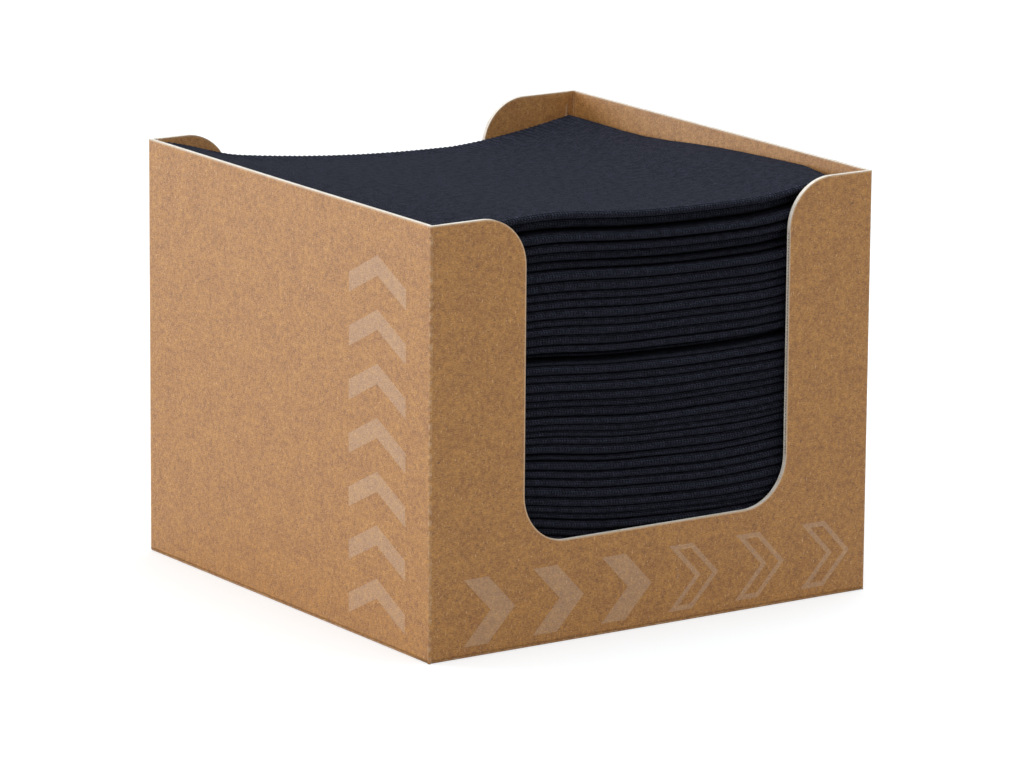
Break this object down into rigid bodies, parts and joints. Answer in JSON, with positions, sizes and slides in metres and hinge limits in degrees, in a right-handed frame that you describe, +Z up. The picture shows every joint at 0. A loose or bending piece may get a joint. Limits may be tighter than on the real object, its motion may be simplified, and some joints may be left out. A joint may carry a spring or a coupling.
{
  "type": "napkin dispenser",
  "caption": "Open-topped kraft corrugated carton with U-shaped finger windows in front and back, filled with a stack of quarter-folded dark napkins.",
  "frame": {"origin": "middle of the underside, on the surface the carton stands on", "axes": "+X to the right along the front, +Y towards the back, +Z up; the front window faces -Y"},
  "size_m": [0.21, 0.208, 0.172],
  "materials": {
    "kraft_board": "matte",
    "airlaid_napkin": "matte",
    "pale_ink": "matte"
  },
  "bodies": {
    "carton": {"front_panel": "kraft_board", "back_panel": "kraft_board", "left_panel": "kraft_board", "right_panel": "kraft_board", "glue_tab": "kraft_board", "bottom_flap_front": "kraft_board", "bottom_flap_back": "kraft_board", "bottom_flap_left": "kraft_board", "bottom_flap_right": "kraft_board"},
    "refill_stack": {"napkin_01": "airlaid_napkin", "napkin_02": "airlaid_napkin", "napkin_03": "airlaid_napkin", "napkin_04": "airlaid_napkin", "napkin_05": "airlaid_napkin", "napkin_06": "airlaid_napkin", "napkin_07": "airlaid_napkin", "napkin_08": "airlaid_napkin", "napkin_09": "airlaid_napkin", "napkin_10": "airlaid_napkin", "napkin_11": "airlaid_napkin", "napkin_12": "airlaid_napkin", "napkin_13": "airlaid_napkin", "napkin_14": "airlaid_napkin", "napkin_15": "airlaid_napkin", "napkin_16": "airlaid_napkin", "napkin_17": "airlaid_napkin", "napkin_18": "airlaid_napkin", "napkin_19": "airlaid_napkin", "napkin_20": "airlaid_napkin", "napkin_21": "airlaid_napkin", "napkin_22": "airlaid_napkin", "napkin_23": "airlaid_napkin", "napkin_24": "airlaid_napkin", "napkin_25": "airlaid_napkin", "napkin_26": "airlaid_napkin", "napkin_27": "airlaid_napkin", "napkin_28": "airlaid_napkin", "napkin_29": "airlaid_napkin", "napkin_30": "airlaid_napkin", "napkin_31": "airlaid_napkin", "napkin_32": "airlaid_napkin", "napkin_33": "airlaid_napkin", "napkin_34": "airlaid_napkin", "napkin_35": "airlaid_napkin", "napkin_36": "airlaid_napkin", "napkin_37": "airlaid_napkin", "napkin_38": "airlaid_napkin", "napkin_39": "airlaid_napkin", "napkin_40": "airlaid_napkin"},
    "single_napkin_41": {"napkin_41": "airlaid_napkin"},
    "single_napkin_42": {"napkin_42": "airlaid_napkin"},
    "single_napkin_43": {"napkin_43": "airlaid_napkin"},
    "single_napkin_44": {"napkin_44": "airlaid_napkin"},
    "single_napkin_45": {"napkin_45": "airlaid_napkin"},
    "single_napkin_46": {"napkin_46": "airlaid_napkin"},
    "single_napkin_47": {"napkin_47": "airlaid_napkin"},
    "single_napkin_48": {"napkin_48": "airlaid_napkin"},
    "single_napkin_49": {"napkin_49": "airlaid_napkin"},
    "single_napkin_50": {"napkin_50": "airlaid_napkin"}
  },
  "joints": [
    {"name": "refill_lift", "type": "slide", "parent": "carton", "child": "refill_stack", "axis": [0, 0, 1], "range_m": [0, 0.17]},
    {"name": "lift_napkin_41", "type": "slide", "parent": "refill_stack", "child": "single_napkin_41", "axis": [0, 0, 1], "range_m": [0, 0.05]},
    {"name": "lift_napkin_42", "type": "slide", "parent": "single_napkin_41", "child": "single_napkin_42", "axis": [0, 0, 1], "range_m": [0, 0.047]},
    {"name": "lift_napkin_43", "type": "slide", "parent": "single_napkin_42", "child": "single_napkin_43", "axis": [0, 0, 1], "range_m": [0, 0.043]},
    {"name": "lift_napkin_44", "type": "slide", "parent": "single_napkin_43", "child": "single_napkin_44", "axis": [0, 0, 1], "range_m": [0, 0.04]},
    {"name": "lift_napkin_45", "type": "slide", "parent": "single_napkin_44", "child": "single_napkin_45", "axis": [0, 0, 1], "range_m": [0, 0.037]},
    {"name": "lift_napkin_46", "type": "slide", "parent": "single_napkin_45", "child": "single_napkin_46", "axis": [0, 0, 1], "range_m": [0, 0.034]},
    {"name": "lift_napkin_47", "type": "slide", "parent": "single_napkin_46", "child": "single_napkin_47", "axis": [0, 0, 1], "range_m": [0, 0.03]},
    {"name": "lift_napkin_48", "type": "slide", "parent": "single_napkin_47", "child": "single_napkin_48", "axis": [0, 0, 1], "range_m": [0, 0.027]},
    {"name": "lift_napkin_49", "type": "slide", "parent": "single_napkin_48", "child": "single_napkin_49", "axis": [0, 0, 1], "range_m": [0, 0.023]},
    {"name": "lift_napkin_50", "type": "slide", "parent": "single_napkin_49", "child": "single_napkin_50", "axis": [0, 0, 1], "range_m": [0, 0.02]}
  ]
}
